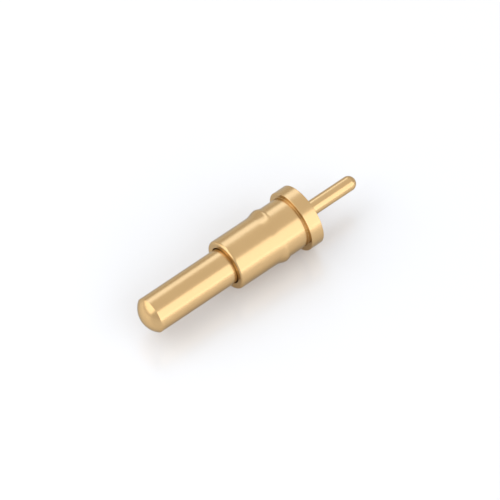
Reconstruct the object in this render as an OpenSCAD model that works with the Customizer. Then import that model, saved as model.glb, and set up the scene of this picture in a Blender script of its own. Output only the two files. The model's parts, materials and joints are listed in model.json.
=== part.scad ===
/* [Plunger] */
// Diameter of the plunger where it shows
plunger_d = 1.07; // [0.8:0.01:2.4]
// How far the relaxed plunger stands out of the mouth, dome included
plunger_out = 2.89; // [1.6:0.01:6]
// Height of the domed contact tip
dome_h = 0.264; // [0.05:0.001:0.4]
// How far the retaining collar stands out beyond the plunger
collar_step = 0.06; // [0.05:0.005:0.2]
// Wall left around the drilled hollow
hollow_wall = 0.175; // [0.1:0.005:0.25]
// Depth of the hollow that guides the spring, to its full diameter
hollow_depth = 2.2; // [1.8:0.01:3]
// Travel of the plunger, from the crimp to the floor of the bore
stroke = 1.14; // [0.4:0.01:1.6]

/* [Shell] */
// Length of the barrel, from the flange's front face to the mouth
barrel_len = 2.33; // [2:0.01:6]
// Wall of the bored barrel
barrel_wall = 0.135; // [0.1:0.005:0.3]
// Radius of the rolled outer edge of the mouth
mouth_round = 0.07; // [0.02:0.005:0.08]
// Length of the crimped lip that keeps the plunger in
lip_len = 0.2; // [0.12:0.01:0.4]
// Width of the rolled inner edge of the lip
lip_break = 0.023; // [0.005:0.001:0.03]
// How far the flange stands out beyond the barrel
flange_step = 0.165; // [0.13:0.005:0.5]
// Thickness of the flange
flange_t = 0.41; // [0.2:0.01:1]
// Wall between the floor of the bore and the flange's rear face
floor_wall = 0.29; // [0.1:0.01:0.6]
// Diameter of the solder tail
tail_d = 0.43; // [0.3:0.01:1]
// Length of the solder tail, round end included
tail_len = 1.83; // [0.8:0.01:4]
// Chamfer on the turned edges
edge = 0.015; // [0.005:0.005:0.04]

/* [Press fit] */
// How far the seat around the bumps' feet stands out beyond the barrel
seat_step = 0.0175; // [0.005:0.0025:0.03]
// Length of that seat, from the flange's front face
seat_len = 0.85; // [0.3:0.01:1.1]
// Length of the slope from the seat down to the barrel
seat_ease = 0.12; // [0.02:0.01:0.2]
// Number of bumps swaged around the barrel
bump_count = 2; // [2:1:6]
// Angle from the X axis to the first bump, around the pin
bump_turn = 150; // [0:5:180]
// Distance from the flange's front face to the foot of a bump
bump_place = 0.59; // [0.3:0.01:0.9]
// Height of a bump's crest above the barrel
bump_h = 0.07; // [0.05:0.005:0.12]
// Radius of a bump's crest, seen along the pin
bump_r = 0.58; // [0.4:0.01:0.59]
// Length of the steep side, towards the flange
bump_back = 0.14; // [0.06:0.01:0.2]
// Length of the crest along the pin
bump_land = 0.02; // [0.01:0.01:0.2]
// Length of the ramp that enters the hole first
bump_ramp = 0.24; // [0.15:0.01:0.5]

/* [Spring] */
// Diameter of the spring wire
wire_d = 0.1; // [0.06:0.005:0.12]
// Number of turns, closed end turns included
turns = 12; // [6:1:13]

/* [Clearances] */
// Between the lip and the plunger, all round
lip_gap = 0.02; // [0.01:0.005:0.03]
// Between the collar and the bore, all round
run_gap = 0.02; // [0.01:0.005:0.05]
// Between the collar and the crimp that stops it, along the pin
stop_gap = 0.005; // [0.002:0.001:0.01]
// Between the spring and the hollow, all round
spring_gap = 0.02; // [0.01:0.005:0.04]
// Between the closed turns at each end of the spring
turn_gap = 0.01; // [0.005:0.005:0.03]

/* [Hidden] */
$fn = 96;
drill_slope = 31; // slope of the cone that a twist drill leaves

// Radii, from the plunger outwards
plunger_r = plunger_d / 2;
collar_r = plunger_r + collar_step;
bore_r = collar_r + run_gap;
barrel_r = bore_r + barrel_wall;
seat_r = barrel_r + seat_step;
flange_r = barrel_r + flange_step;
lip_r = plunger_r + lip_gap;
tail_r = tail_d / 2;

// Heights above the flange's rear face, with the pin stood on its tail
front_z = flange_t;
mouth_z = front_z + barrel_len;
tip_z = mouth_z + plunger_out;
stop_z = mouth_z - lip_len;
collar_top_z = stop_z + run_gap - stop_gap;
plunger_end_z = floor_wall + stroke;
hollow_z = plunger_end_z + hollow_depth;

// The dome is a cap of this sphere
dome_r = (plunger_r * plunger_r + dome_h * dome_h) / (2 * dome_h);

// The hollow, and the spring that runs in it
hollow_r = plunger_r - hollow_wall;
wire_r = wire_d / 2;
coil_r = hollow_r - spring_gap - wire_r;

// The centre line of the wire starts on the bore's floor and ends against the drilled cone
coil_bottom_z = floor_wall + wire_r;
coil_top_z = hollow_z + (hollow_r - coil_r) * tan(drill_slope) - wire_r / cos(drill_slope);
end_pitch = wire_d + turn_gap;
live_pitch = (coil_top_z - coil_bottom_z - 2 * end_pitch) / (turns - 2);

// Faces of the wire: sides of its section, and sections in each turn
wire_sides = 10;
turn_steps = 24;

// Lays a piece down, from standing on its tail to pointing its tip along -Y
module lay() {
    rotate([90, 0, 0]) children();
}

// A straight cone or cylinder between two heights
module frustum(z0, r0, z1, r1) {
    translate([0, 0, z0]) cylinder(r1 = r0, r2 = r1, h = z1 - z0);
}

// Outside of the shell as it leaves the lathe, up to the rolled edge of the mouth
module shell_turning() {
    rotate_extrude() polygon([
        [0, tail_r - tail_len],
        [tail_r, tail_r - tail_len],
        [tail_r, 0],
        [flange_r - edge, 0],
        [flange_r, edge],
        [flange_r, front_z - edge],
        [flange_r - edge, front_z],
        [seat_r, front_z],
        [seat_r, front_z + seat_len],
        [barrel_r, front_z + seat_len + seat_ease],
        [barrel_r, mouth_z - mouth_round],
        [barrel_r - mouth_round, mouth_z],
        [0, mouth_z]
    ]);
    translate([0, 0, tail_r - tail_len]) sphere(r = tail_r);
    translate([0, 0, mouth_z - mouth_round]) rotate_extrude()
        translate([barrel_r - mouth_round, 0]) circle(r = mouth_round);
}

// One swaged bump: a crest off the pin's centre line, ramped at both ends
module bump() {
    off = barrel_r + bump_h - bump_r;
    low_r = bump_r - bump_h;
    foot_z = front_z + bump_place;
    crest_z = foot_z + bump_back;
    ramp_z = crest_z + bump_land;
    translate([off, 0, 0]) {
        frustum(foot_z, low_r + seat_step, crest_z, bump_r);
        frustum(crest_z, bump_r, ramp_z, bump_r);
        frustum(ramp_z, bump_r, ramp_z + bump_ramp, low_r);
    }
}

// Flat-bottomed bore, coned in under the crimped lip
module shell_bore() {
    cone_z = stop_z + bore_r - lip_r;
    frustum(floor_wall, bore_r, stop_z, bore_r);
    frustum(stop_z, bore_r, cone_z, lip_r);
    frustum(cone_z, lip_r, mouth_z, lip_r);
    frustum(mouth_z - lip_break, lip_r, mouth_z + lip_break, lip_r + 2 * lip_break);
}

module shell() {
    color("goldenrod") lay() difference() {
        union() {
            shell_turning();
            for (i = [0 : bump_count - 1]) rotate(bump_turn + i * 360 / bump_count) bump();
        }
        shell_bore();
    }
}

// Domed rod with a collar behind the lip, whose cone matches the crimp's
module plunger_turning() {
    rotate_extrude() polygon([
        [0, plunger_end_z],
        [collar_r - edge, plunger_end_z],
        [collar_r, plunger_end_z + edge],
        [collar_r, collar_top_z],
        [plunger_r, collar_top_z + collar_step],
        [plunger_r, tip_z - dome_h],
        [0, tip_z - dome_h]
    ]);
    intersection() {
        translate([0, 0, tip_z - dome_r]) sphere(r = dome_r);
        frustum(tip_z - dome_h, plunger_r, tip_z, plunger_r);
    }
}

// Blind hole drilled from the rear, with the drill's cone at its end
module plunger_hollow() {
    frustum(plunger_end_z - edge, hollow_r, hollow_z, hollow_r);
    frustum(hollow_z, hollow_r, hollow_z + hollow_r * tan(drill_slope), 0);
}

module plunger() {
    color("gold") lay() difference() {
        plunger_turning();
        plunger_hollow();
    }
}

// Height of the wire's centre line after t turns: closed, live and closed again
function coil_z(t) = coil_bottom_z + end_pitch * min(t, 1)
    + live_pitch * min(max(t - 1, 0), turns - 2)
    + end_pitch * max(t - turns + 1, 0);

// One section of the wire, t turns along
function wire_ring(t) = [for (k = [0 : wire_sides - 1])
    let (a = 360 * k / wire_sides, r = coil_r + wire_r * cos(a))
    [r * cos(360 * t), r * sin(360 * t), coil_z(t) + wire_r * sin(a)]];

module spring() {
    rings = turns * turn_steps;
    points = [for (i = [0 : rings]) each wire_ring(i / turn_steps)];
    sides = [for (i = [0 : rings - 1], k = [0 : wire_sides - 1])
        let (a = i * wire_sides + k, b = i * wire_sides + (k + 1) % wire_sides)
        [a, b, b + wire_sides, a + wire_sides]];
    start_cap = [for (k = [0 : wire_sides - 1]) wire_sides - 1 - k];
    end_cap = [for (k = [0 : wire_sides - 1]) rings * wire_sides + k];
    color("silver") lay() polyhedron(points, concat(sides, [start_cap, end_cap]));
}

shell();
plunger();
spring();
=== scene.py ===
import json
import math

import bpy
from mathutils import Matrix, Vector


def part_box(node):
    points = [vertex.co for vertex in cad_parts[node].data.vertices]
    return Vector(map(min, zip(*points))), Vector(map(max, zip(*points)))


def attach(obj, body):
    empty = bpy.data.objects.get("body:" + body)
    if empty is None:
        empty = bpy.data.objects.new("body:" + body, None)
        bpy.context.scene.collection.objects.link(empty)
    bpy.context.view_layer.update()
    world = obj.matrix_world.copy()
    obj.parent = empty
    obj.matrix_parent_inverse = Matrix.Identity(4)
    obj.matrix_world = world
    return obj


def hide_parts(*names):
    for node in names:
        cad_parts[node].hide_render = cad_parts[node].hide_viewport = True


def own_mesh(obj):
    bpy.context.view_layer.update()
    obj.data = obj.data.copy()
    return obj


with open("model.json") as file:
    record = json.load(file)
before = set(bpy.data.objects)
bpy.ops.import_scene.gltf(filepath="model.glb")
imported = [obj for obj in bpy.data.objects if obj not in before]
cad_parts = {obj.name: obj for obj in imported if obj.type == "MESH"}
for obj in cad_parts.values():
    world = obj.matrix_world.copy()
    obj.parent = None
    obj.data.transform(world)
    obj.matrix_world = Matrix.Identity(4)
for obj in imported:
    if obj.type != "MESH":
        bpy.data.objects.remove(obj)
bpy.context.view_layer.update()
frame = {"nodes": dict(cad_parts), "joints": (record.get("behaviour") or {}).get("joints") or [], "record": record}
mounts = {m["name"]: m for m in frame["record"]["mounts"]}
press = next(j for j in frame["joints"] if j["name"] == "plunger_press")
micron = 1e-6
fullTurn = 2 * math.pi
print("frame loaded:", sorted(frame["nodes"]))


class Value:  # a socket that takes part in Python arithmetic
    def __init__(self, tree, node, socket):
        self.tree = tree
        self.node = node
        self.socket = socket

    def math(self, operation, *others):
        sockets = {0: self, **dict(enumerate(others, 1))}
        return self.tree.add("ShaderNodeMath", {"operation": operation}, sockets)

    def reflected(self, operation, other):
        return self.tree.add("ShaderNodeMath", {"operation": operation}, {0: other, 1: self})

    def out(self, name):
        return Value(self.tree, self.node, self.node.outputs[name])

    def __add__(self, other):
        return self.math("ADD", other)

    def __mul__(self, other):
        return self.math("MULTIPLY", other)

    def __sub__(self, other):
        return self.math("SUBTRACT", other)

    def __rsub__(self, other):
        return self.reflected("SUBTRACT", other)

    def __truediv__(self, other):
        return self.math("DIVIDE", other)

    def __rtruediv__(self, other):
        return self.reflected("DIVIDE", other)

    __radd__ = __add__
    __rmul__ = __mul__


class Tree:  # adds nodes to a shader or geometry tree
    def __init__(self, nodeTree):
        self.nodeTree = nodeTree

    def add(self, kind, settings=None, sockets=None, out=0):
        node = self.nodeTree.nodes.new(kind)
        for name, setting in (settings or {}).items():
            if name == "stops":
                self.setStops(node.color_ramp, setting)
            else:
                setattr(node, name, setting)
        for name, given in (sockets or {}).items():
            if isinstance(given, Value):
                self.nodeTree.links.new(given.socket, node.inputs[name])
            else:
                node.inputs[name].default_value = given
        return Value(self, node, node.outputs[out]) if len(node.outputs) else node

    def setStops(self, ramp, stops):
        for element, (place, level) in zip(ramp.elements, stops):
            element.position = place
            element.color = (level, level, level, 1)


def newMaterial(name):
    material = bpy.data.materials.new(name)
    material.use_nodes = True
    material.node_tree.nodes.clear()
    return material, Tree(material.node_tree)


def linkedObject(name, data):
    made = bpy.data.objects.new(name, data)
    bpy.context.scene.collection.objects.link(made)
    return made


def geometryTree(name, inputs):
    group = bpy.data.node_groups.new(name, "GeometryNodeTree")
    kinds = {"Geometry": "NodeSocketGeometry", "Material": "NodeSocketMaterial"}
    for label, default in inputs.items():
        number = "NodeSocketInt" if isinstance(default, int) else "NodeSocketFloat"
        kind = kinds.get(label, number)
        socket = group.interface.new_socket(name=label, in_out="INPUT", socket_type=kind)
        if default is not None:
            socket.default_value = default
    group.interface.new_socket(name="Geometry", in_out="OUTPUT", socket_type="NodeSocketGeometry")
    tree = Tree(group)
    start = tree.add("NodeGroupInput")
    return group, tree, {label: start.out(label) for label in inputs}


def finishTree(tree, shape, material):
    smooth = tree.add("GeometryNodeSetShadeSmooth", None, {"Geometry": shape})
    whole = tree.add("GeometryNodeRealizeInstances", None, {"Geometry": smooth})
    dressed = tree.add("GeometryNodeSetMaterial", None, {"Geometry": whole, "Material": material})
    tree.add("NodeGroupOutput", None, {"Geometry": dressed})


def addModifier(piece, group, values):
    modifier = piece.modifiers.new(group.name, "NODES")
    modifier.node_group = group
    for item in group.interface.items_tree:
        if item.in_out == "INPUT" and item.name in values:
            modifier[item.identifier] = values[item.name]


def bakePiece(piece, name):  # evaluated modifiers become one plain mesh
    graph = bpy.context.evaluated_depsgraph_get()
    graph.update()
    mesh = bpy.data.meshes.new_from_object(piece.evaluated_get(graph))
    made = linkedObject(name, mesh)
    bpy.data.objects.remove(piece)
    mesh.name = name
    print(name, "has", len(mesh.polygons), "faces")
    return made


def arcPoints(centre, radius, start, end, steps):
    points = []
    for i in range(steps + 1):
        angle = start + (end - start) * i / steps
        across = centre[0] + radius * math.cos(angle)
        along = centre[1] + radius * math.sin(angle)
        points.append(Vector((across, along)))
    return points


def roundedOutline(corners, steps, support):
    # each corner is (radius, place along the pin, fillet), with support points beside its fillet
    outline = [Vector(corners[0][:2])]
    for before, corner, after in zip(corners, corners[1:], corners[2:]):
        point = Vector(corner[:2])
        fillet = corner[2]
        back = (Vector(before[:2]) - point).normalized()
        ahead = (Vector(after[:2]) - point).normalized()
        turn = math.pi - back.angle(ahead)
        reach = fillet * math.tan(turn / 2)
        first = point + back * reach
        last = point + ahead * reach
        centre = point + (back + ahead).normalized() * (fillet / math.cos(turn / 2))
        outline += [first + back * support, first]
        for i in range(1, steps):
            fromFirst = (first - centre) * math.sin(turn * (1 - i / steps))
            fromLast = (last - centre) * math.sin(turn * i / steps)
            outline.append(centre + (fromFirst + fromLast) / math.sin(turn))
        outline += [last, last + ahead * support]
    return outline + [Vector(corners[-1][:2])]


def divideStretch(outline, low, high, innermost, step):
    # extra points between two places along the pin, on the outside
    divided = [outline[0]]
    for a, b in zip(outline, outline[1:]):
        within = min(a.y, b.y) < high and max(a.y, b.y) > low
        outside = min(a.x, b.x) > innermost and abs(a.x - b.x) < step
        pieces = max(1, math.ceil((b - a).length / step)) if within and outside else 1
        divided += [a.lerp(b, i / pieces) for i in range(1, pieces + 1)]
    return divided


def outlineObject(name, outline):
    mesh = bpy.data.meshes.new(name)
    edges = [(i, i + 1) for i in range(len(outline) - 1)]
    mesh.from_pydata([(p.x, p.y, 0) for p in outline], edges, [])
    return linkedObject(name, mesh)


def turnedTree():
    # each column of a flat grid becomes one ring around the pin, from one point of the outline
    inputs = {"Geometry": None, "Segments": 192, "Weld Distance": 0.01 * micron, "Material": None}
    group, tree, given = geometryTree("Turned piece", inputs)
    count = tree.add("GeometryNodeAttributeDomainSize", {"component": "MESH"}, {
        "Geometry": given["Geometry"]})
    grid = tree.add("GeometryNodeMeshGrid", None, {
        "Size X": 1.0, "Size Y": 1.0, "Vertices X": count, "Vertices Y": given["Segments"] + 1})
    place = tree.add("ShaderNodeSeparateXYZ", None, {0: tree.add("GeometryNodeInputPosition")})
    index = ((place + 0.5) * (count - 1)).math("ROUND")
    outline = tree.add("GeometryNodeSampleIndex", {"data_type": "FLOAT_VECTOR", "domain": "POINT"}, {
        "Geometry": given["Geometry"], "Value": tree.add("GeometryNodeInputPosition"), "Index": index})
    point = tree.add("ShaderNodeSeparateXYZ", None, {0: outline})
    angle = (place.out("Y") + 0.5) * fullTurn
    placed = tree.add("ShaderNodeCombineXYZ", None, {
        "X": point * angle.math("COSINE"), "Y": point.out("Y"), "Z": point * angle.math("SINE")})
    turned = tree.add("GeometryNodeSetPosition", None, {"Geometry": grid, "Position": placed})
    closed = tree.add("GeometryNodeMergeByDistance", None, {
        "Geometry": turned, "Distance": given["Weld Distance"]})
    finishTree(tree, closed, given["Material"])
    return group


shellSizes = {
    "tailRadius": mounts["tail"]["dims"]["r_mm"] / 1000,
    "tailEnd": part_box("shell")[1].y,
    "flangeRadius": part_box("shell")[1].x,
    "flangeFront": mounts["flange_front"]["pos_m"][1],
    "barrelRadius": mounts["barrel"]["dims"]["r_mm"] / 1000,
    "mouth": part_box("shell")[0].y,
    "seatStep": 17.5 * micron,
    "seatLength": 790 * micron,
    "seatEase": 230 * micron,
    "seatRound": 1400 * micron,
    "mouthRound": 70 * micron,
    "lipRadius": 555 * micron,
    "lipBreak": 23 * micron,
    "lipLength": 200 * micron,
    "boreRadius": 615 * micron,
    "boreFloor": -290 * micron,
    "edge": 12 * micron,
    "inner": 8 * micron,
    "around": 240,
    "tailSteps": 24,
    "cornerSteps": 8,
    "cornerSupport": 6 * micron,
    "fineAhead": 420 * micron,
    "fineBehind": 200 * micron,
    "fineStep": 10 * micron,
}

bumpSizes = {
    "Bump Count": 2,
    "First Bump": math.radians(150),
    "Crest Place": mounts["press_bumps"]["pos_m"][1],
    "Crest Length": 20 * micron,
    "Crest Height": 826 * micron,
    "Crest Radius": 700 * micron,
    "Ramp Drop": 78 * micron,
    "Ramp Length": 245 * micron,
    "Back Drop": 62 * micron,
    "Back Length": 160 * micron,
    "Smallest Radius": 500 * micron,
    "Crest Blend": 40 * micron,
    "Foot Blend": 30 * micron,
    "Inner Limit": 700 * micron,
}


def shellOutline(s):
    tailCentre = s["tailEnd"] - s["tailRadius"]
    seat = s["barrelRadius"] + s["seatStep"]
    seatEnd = s["flangeFront"] - s["seatLength"]
    lipEnd = s["mouth"] + s["lipLength"]
    corners = [
        (s["tailRadius"], tailCentre, 0),
        (s["tailRadius"], 0, s["inner"]),
        (s["flangeRadius"], 0, s["edge"]),
        (s["flangeRadius"], s["flangeFront"], s["edge"]),
        (seat, s["flangeFront"], s["inner"]),
        (seat, seatEnd, s["seatRound"]),
        (s["barrelRadius"], seatEnd - s["seatEase"], s["seatRound"]),
        (s["barrelRadius"], s["mouth"], s["mouthRound"]),
        (s["lipRadius"], s["mouth"], s["lipBreak"]),
        (s["lipRadius"], lipEnd - (s["boreRadius"] - s["lipRadius"]), s["inner"]),
        (s["boreRadius"], lipEnd, s["inner"]),
        (s["boreRadius"], s["boreFloor"], s["inner"]),
        (0, s["boreFloor"], 0),
    ]
    roundEnd = arcPoints((0, tailCentre), s["tailRadius"], math.pi / 2, 0, s["tailSteps"])
    roundEnd[0].x = 0
    return roundEnd[:-1] + roundedOutline(corners, s["cornerSteps"], s["cornerSupport"])


def swagedTree(sizes):
    group, tree, given = geometryTree("Swaged bumps", {"Geometry": None, **sizes, "Material": None})
    place = tree.add("ShaderNodeSeparateXYZ", None, {0: tree.add("GeometryNodeInputPosition")})
    x = place
    y = place.out("Y")
    z = place.out("Z")
    radius = (x * x + z * z).math("SQRT")
    angle = z.math("ARCTAN2", x)
    sector = fullTurn / given["Bump Count"].math("MAXIMUM", 1)
    offCrest = (angle - given["First Bump"]).math("WRAP", sector / 2, sector / -2)
    # the bump's own radius falls away along the ramp and behind the crest
    rampStart = given["Crest Place"] - given["Crest Length"]
    rampFall = (rampStart - y) * given["Ramp Drop"] / given["Ramp Length"]
    backFall = (y - given["Crest Place"]) * given["Back Drop"] / given["Back Length"]
    fall = rampFall.math("SMOOTH_MAX", backFall, given["Crest Blend"])
    fall = fall.math("SMOOTH_MAX", 0, given["Crest Blend"])
    own = (given["Crest Radius"] - fall).math("MAXIMUM", given["Smallest Radius"])
    # how far the bump's round surface lies from the pin's axis in this direction
    off = given["Crest Height"] - given["Crest Radius"]
    side = off * offCrest.math("SINE")
    reach = off * offCrest.math("COSINE") + (own * own - side * side).math("SQRT")
    grown = radius.math("SMOOTH_MAX", reach, given["Foot Blend"])
    moved = tree.add("ShaderNodeCombineXYZ", None, {
        "X": grown * angle.math("COSINE"), "Y": y, "Z": grown * angle.math("SINE")})
    swaged = tree.add("GeometryNodeSetPosition", None, {
        "Geometry": given["Geometry"], "Position": moved,
        "Selection": radius.math("GREATER_THAN", given["Inner Limit"])})
    finishTree(tree, swaged, given["Material"])
    return group


def makeShell(material, turned):
    low = bumpSizes["Crest Place"] - shellSizes["fineAhead"]
    high = bumpSizes["Crest Place"] + shellSizes["fineBehind"]
    outline = divideStretch(
        shellOutline(shellSizes), low, high, bumpSizes["Inner Limit"], shellSizes["fineStep"])
    outline.reverse()  # from the bore outwards, as the faces then point out
    piece = outlineObject("shellOutline", outline)
    addModifier(piece, turned, {"Segments": shellSizes["around"], "Material": material})
    addModifier(piece, swagedTree(bumpSizes), {"Material": material})
    return bakePiece(piece, "shell_turned")


plungerSizes = {
    "radius": 535 * micron,
    "tip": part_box("plunger")[0].y,
    "domeHeight": 264 * micron,
    "collarRadius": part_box("plunger")[1].x,
    "collarFront": -2555 * micron,
    "rearEnd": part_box("plunger")[1].y,
    "hollowRadius": 360 * micron,
    "hollowDepth": 2200 * micron,
    "drillSlope": math.radians(31),
    "shoulder": 14 * micron,
    "edge": 8 * micron,
    "around": 192,
    "domeSteps": 40,
    "cornerSteps": 6,
    "cornerSupport": 5 * micron,
}


def plungerOutline(s):
    sphere = (s["radius"] ** 2 + s["domeHeight"] ** 2) / (2 * s["domeHeight"])
    half = math.asin(s["radius"] / sphere)
    pole = -math.pi / 2
    dome = arcPoints((0, s["tip"] + sphere), sphere, pole, pole + half, s["domeSteps"])
    dome[0].x = 0
    hollowEnd = s["rearEnd"] - s["hollowDepth"]
    slope = s["collarRadius"] - s["radius"]
    corners = [
        (dome[-2].x, dome[-2].y, 0),
        (s["radius"], s["tip"] + s["domeHeight"], s["shoulder"]),
        (s["radius"], s["collarFront"] - slope, s["edge"]),
        (s["collarRadius"], s["collarFront"], s["edge"]),
        (s["collarRadius"], s["rearEnd"], s["edge"]),
        (s["hollowRadius"], s["rearEnd"], s["edge"]),
        (s["hollowRadius"], hollowEnd, s["edge"]),
        (0, hollowEnd - s["hollowRadius"] * math.tan(s["drillSlope"]), 0),
    ]
    return dome[:-2] + roundedOutline(corners, s["cornerSteps"], s["cornerSupport"])


def makePlunger(material, turned):
    piece = outlineObject("plungerOutline", plungerOutline(plungerSizes))
    addModifier(piece, turned, {"Segments": plungerSizes["around"], "Material": material})
    return bakePiece(piece, "plunger_turned")


wireRadius = 50 * micron

springSizes = {
    "Turns": 12,
    "Steps Per Turn": 40,
    "Wire Radius": wireRadius,
    "Wire Sides": 14,
    "Coil Radius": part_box("spring")[1].x - wireRadius,
    "Floor End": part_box("spring")[1].y - wireRadius,
    "Plunger End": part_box("spring")[0].y + wireRadius,
    "End Pitch": 110 * micron,
}


def springTree(sizes):
    group, tree, given = geometryTree("Wound spring", {"Geometry": None, **sizes, "Material": None})
    line = tree.add("GeometryNodeCurvePrimitiveLine", None, {"End": (0, 1, 0)})
    steps = given["Turns"] * given["Steps Per Turn"] + 1
    points = tree.add("GeometryNodeResampleCurve", None, {"Curve": line, "Count": steps})
    turn = tree.add("GeometryNodeSplineParameter") * given["Turns"]
    # one closed turn at each end, and the others evenly open
    live = given["Turns"] - 2
    span = given["Floor End"] - given["Plunger End"]
    livePitch = (span - 2 * given["End Pitch"]) / live
    closedTurns = turn.math("MINIMUM", 1) + (turn - given["Turns"] + 1).math("MAXIMUM", 0)
    openTurns = (turn - 1).math("MAXIMUM", 0).math("MINIMUM", live)
    along = given["Floor End"] - given["End Pitch"] * closedTurns - livePitch * openTurns
    angle = turn * fullTurn
    place = tree.add("ShaderNodeCombineXYZ", None, {
        "X": given["Coil Radius"] * angle.math("COSINE"), "Y": along,
        "Z": given["Coil Radius"] * angle.math("SINE")})
    helix = tree.add("GeometryNodeSetPosition", None, {"Geometry": points, "Position": place})
    section = tree.add("GeometryNodeCurvePrimitiveCircle", None, {
        "Resolution": given["Wire Sides"], "Radius": given["Wire Radius"]})
    wire = tree.add("GeometryNodeCurveToMesh", None, {
        "Curve": helix, "Profile Curve": section, "Fill Caps": True})
    finishTree(tree, wire, given["Material"])
    return group


def makeSpring(material):
    seed = [Vector((0, 0)), Vector((0, micron))]  # something for the modifier to sit on
    piece = outlineObject("springSeed", seed)
    addModifier(piece, springTree(springSizes), {"Material": material})
    return bakePiece(piece, "spring_wound")


noiseMean = 0.5

gold = {
    "colour": (0.61, 0.407, 0.193, 1),
    "deepColour": (0.575, 0.38, 0.178, 1),
    "edgeColour": (0.58, 0.61, 0.62, 1),
    "toneScale": 900.0,
    "toneStops": [(0.35, 0), (0.65, 1)],
    "deepShare": 0.5,
    "roughness": 0.24,
    "grainRoughness": 0.05,
    "ringRoughness": 0.04,
    "ringPitch": 14 * micron,
    "ringStretch": 60,
    "ringDepth": 0.05 * micron,
    "grainSize": 60 * micron,
    "grainDepth": 0.08 * micron,
}


def goldPlating(name, seed):
    material, tree = newMaterial(name)
    place = tree.add("ShaderNodeTexCoord", None, None, "Object")
    # rings left by the lathe are noise drawn out around the pin
    along = 1 / gold["ringPitch"]
    across = along / gold["ringStretch"]
    stretched = tree.add("ShaderNodeMapping", {"vector_type": "POINT"}, {
        "Vector": place, "Scale": (across, along, across), "Location": (seed, 0, 0)})
    rings = tree.add("ShaderNodeTexNoise", None, {
        "Vector": stretched, "Scale": 1.0, "Detail": 2.0, "Roughness": 0.6})
    grain = tree.add("ShaderNodeTexNoise", None, {
        "Vector": place, "Scale": 1 / gold["grainSize"], "Detail": 3.0, "Roughness": 0.55})
    tone = tree.add("ShaderNodeTexNoise", None, {
        "Vector": place, "Scale": gold["toneScale"], "Detail": 2.0, "Roughness": 0.5})
    toneMask = tree.add("ShaderNodeValToRGB", {"stops": gold["toneStops"]}, {"Fac": tone})
    colour = tree.add("ShaderNodeMix", {"data_type": "RGBA"}, {
        "Factor": toneMask * gold["deepShare"], 6: gold["colour"], 7: gold["deepColour"]}, 2)
    grainSpread = (grain - noiseMean) * gold["grainRoughness"]
    ringSpread = (rings - noiseMean) * gold["ringRoughness"]
    ringBump = tree.add("ShaderNodeBump", None, {
        "Height": rings, "Strength": 1.0, "Distance": gold["ringDepth"]})
    grainBump = tree.add("ShaderNodeBump", None, {
        "Height": grain, "Strength": 1.0, "Distance": gold["grainDepth"], "Normal": ringBump})
    shader = tree.add("ShaderNodeBsdfPrincipled", None, {
        "Base Color": colour, "Metallic": 1.0,
        "Roughness": gold["roughness"] + grainSpread + ringSpread,
        "Specular Tint": gold["edgeColour"], "Normal": grainBump})
    tree.add("ShaderNodeOutputMaterial", None, {"Surface": shader})
    return material


wireSteel = {
    "colour": (0.56, 0.55, 0.53, 1),
    "drawnColour": (0.46, 0.45, 0.44, 1),
    "roughness": 0.28,
    "roughnessSpread": 0.1,
    "drawSize": 25 * micron,
    "drawDepth": 0.3 * micron,
}


def drawnWire(name):
    material, tree = newMaterial(name)
    place = tree.add("ShaderNodeTexCoord", None, None, "Object")
    lines = tree.add("ShaderNodeTexNoise", None, {
        "Vector": place, "Scale": 1 / wireSteel["drawSize"], "Detail": 3.0, "Roughness": 0.6})
    colour = tree.add("ShaderNodeMix", {"data_type": "RGBA"}, {
        "Factor": lines, 6: wireSteel["colour"], 7: wireSteel["drawnColour"]}, 2)
    bump = tree.add("ShaderNodeBump", None, {
        "Height": lines, "Strength": 1.0, "Distance": wireSteel["drawDepth"]})
    spread = (lines - noiseMean) * wireSteel["roughnessSpread"]
    shader = tree.add("ShaderNodeBsdfPrincipled", None, {
        "Base Color": colour, "Metallic": 1.0,
        "Roughness": wireSteel["roughness"] + spread, "Normal": bump})
    tree.add("ShaderNodeOutputMaterial", None, {"Surface": shader})
    return material


stage = {
    "floorHalf": 0.4,
    "floorColour": (0.68, 0.68, 0.68, 1),
    "floorRoughness": 0.22,
    "floorIor": 1.75,
    "floorLift": 0.08,
    "worldColour": (0.80, 0.80, 0.80, 1),
}

# a lamp's radiance adds to the world's, and the first side of its size lies along "along"
lamps = {
    "sideSoftbox": {
        "centre": (0.0972, 0.0233, 0.067), "along": (0, 1, 0), "size": (0.21, 0.136),
        "radiance": 1.28, "colour": (0.96, 1.01, 1.12), "upright": True},
    "lowStrip": {
        "centre": (0.0965, 0.0233, 0.0065), "along": (0, 1, 0), "size": (0.21, 0.014),
        "radiance": 0.45, "colour": (0.96, 1.01, 1.12), "upright": True},
    "backStrip": {
        "centre": (-0.0845, 0.0356, 0.0725), "along": (0.564, -0.552, 0.614), "size": (0.086, 0.031),
        "radiance": 1.18, "colour": (0.84, 1.0, 1.32), "upright": False},
    "topStrip": {
        "centre": (-0.048, -0.016, 0.100), "along": (0.35, -0.94, 0), "size": (0.060, 0.034),
        "radiance": 1.2, "colour": (0.9, 1.0, 1.2), "upright": False},
    "frontBox": {
        "centre": (-0.049, -0.085, 0.070), "along": (0.87, -0.49, 0), "size": (0.165, 0.125),
        "radiance": 1.3, "colour": (1, 1, 1), "upright": False},
    "overheadBox": {
        "centre": (-0.0075, 0.0675, 0.135), "along": (1, 0, 0), "size": (0.20, 0.16),
        "radiance": 0.20, "colour": (1, 1, 1), "upright": False},
}

viewpoint = {
    "azimuth": 50.54,
    "elevation": 54.06,
    "lens": 1500,
    "field": 13.625e-3,
    "flangeRight": 1.117e-3,
    "flangeUp": 0.766e-3,
    "clipFactor": 50,
}


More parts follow.
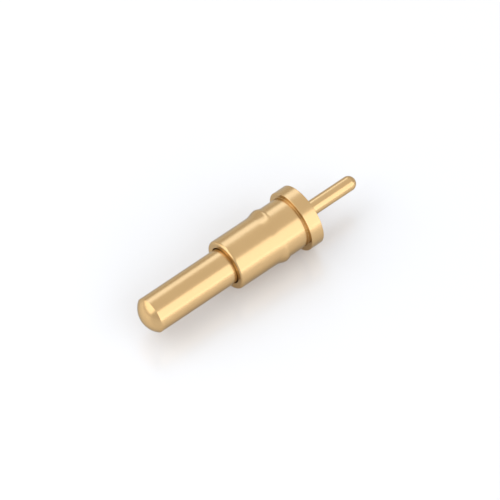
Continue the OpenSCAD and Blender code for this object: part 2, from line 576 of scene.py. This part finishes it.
def makeFloor():
    half = stage["floorHalf"]
    low = -shellSizes["flangeRadius"]
    corners = [(-half, -half, low), (half, -half, low), (half, half, low), (-half, half, low)]
    mesh = bpy.data.meshes.new("floor")
    mesh.from_pydata(corners, [], [(0, 1, 2, 3)])
    floor = linkedObject("floor", mesh)
    material, tree = newMaterial("pale floor")
    satin = tree.add("ShaderNodeBsdfPrincipled", None, {
        "Base Color": stage["floorColour"], "Roughness": stage["floorRoughness"],
        "IOR": stage["floorIor"]})
    # the lift shows to the camera and in the metal, and lights nothing else
    glow = tree.add("ShaderNodeEmission", None, {"Strength": stage["floorLift"]})
    lifted = tree.add("ShaderNodeAddShader", None, {0: satin, 1: glow})
    path = tree.add("ShaderNodeLightPath")
    seen = path.out("Is Camera Ray").math("MAXIMUM", path.out("Is Glossy Ray"))
    seen = seen.math("MAXIMUM", path.out("Is Transmission Ray"))
    mixed = tree.add("ShaderNodeMixShader", None, {0: seen, 1: satin, 2: lifted})
    tree.add("ShaderNodeOutputMaterial", None, {"Surface": mixed})
    mesh.materials.append(material)


def makeLamp(name, given):
    lamp = bpy.data.lights.new(name, "AREA")
    lamp.shape = "RECTANGLE"
    lamp.size, lamp.size_y = given["size"]
    lamp.energy = given["radiance"] * math.pi * lamp.size * lamp.size_y
    lamp.color = given["colour"]
    holder = linkedObject(name, lamp)
    holder.location = given["centre"]
    away = Vector(given["centre"])
    if given["upright"]:
        away.z = 0
    away.normalize()
    along = Vector(given["along"])
    along = (along - away * along.dot(away)).normalized()
    turn = Matrix((along, away.cross(along), away)).transposed()
    holder.rotation_mode = "QUATERNION"
    holder.rotation_quaternion = turn.to_quaternion()
    holder.visible_camera = False


def makeWorld():
    world = bpy.data.worlds.new("studio")
    world.use_nodes = True
    world.node_tree.nodes.clear()
    tree = Tree(world.node_tree)
    background = tree.add("ShaderNodeBackground", None, {"Color": stage["worldColour"]})
    tree.add("ShaderNodeOutputWorld", None, {"Surface": background})
    bpy.context.scene.world = world


def makeCamera():
    azimuth = math.radians(viewpoint["azimuth"])
    elevation = math.radians(viewpoint["elevation"])
    level = math.cos(elevation)
    back = Vector((math.sin(azimuth) * level, -math.cos(azimuth) * level, math.sin(elevation)))
    turn = (-back).to_track_quat("-Z", "Y")
    right = turn @ Vector((1, 0, 0))
    up = turn @ Vector((0, 1, 0))
    flange = Vector((0, shellSizes["flangeFront"], 0))
    target = flange - right * viewpoint["flangeRight"] - up * viewpoint["flangeUp"]
    data = bpy.data.cameras.new("camera")
    data.lens = viewpoint["lens"]
    distance = viewpoint["field"] * data.lens / data.sensor_width
    data.clip_start = distance / viewpoint["clipFactor"]
    data.clip_end = distance * viewpoint["clipFactor"]
    camera = linkedObject("camera", data)
    camera.rotation_mode = "QUATERNION"
    camera.location = target + back * distance
    camera.rotation_quaternion = turn
    bpy.context.scene.camera = camera


def makeStage():
    makeFloor()
    makeWorld()
    for name, given in lamps.items():
        makeLamp(name, given)
    makeCamera()
    bpy.context.scene.view_settings.view_transform = "Standard"


makeStage()
print("stage ready")
turned = turnedTree()
shell = makeShell(goldPlating("shell plating", seed=3.0), turned)
plunger = makePlunger(goldPlating("plunger plating", seed=7.0), turned)
spring = makeSpring(drawnWire("spring wire"))
print("pieces made")

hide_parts("shell")
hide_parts("plunger")
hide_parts("spring")
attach(shell, "shell_body")
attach(plunger, "plunger_body")
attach(spring, "shell_body")

springLow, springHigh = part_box("spring")
springLength = springHigh.y - springLow.y
stroke = press["range_m"][1]
slack = 15 * micron  # margin taken off the squeezed length of the wire, for the drilled cone
(springLength - stroke - slack) / springLength
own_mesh(spring)
print("pieces ride on their bodies")
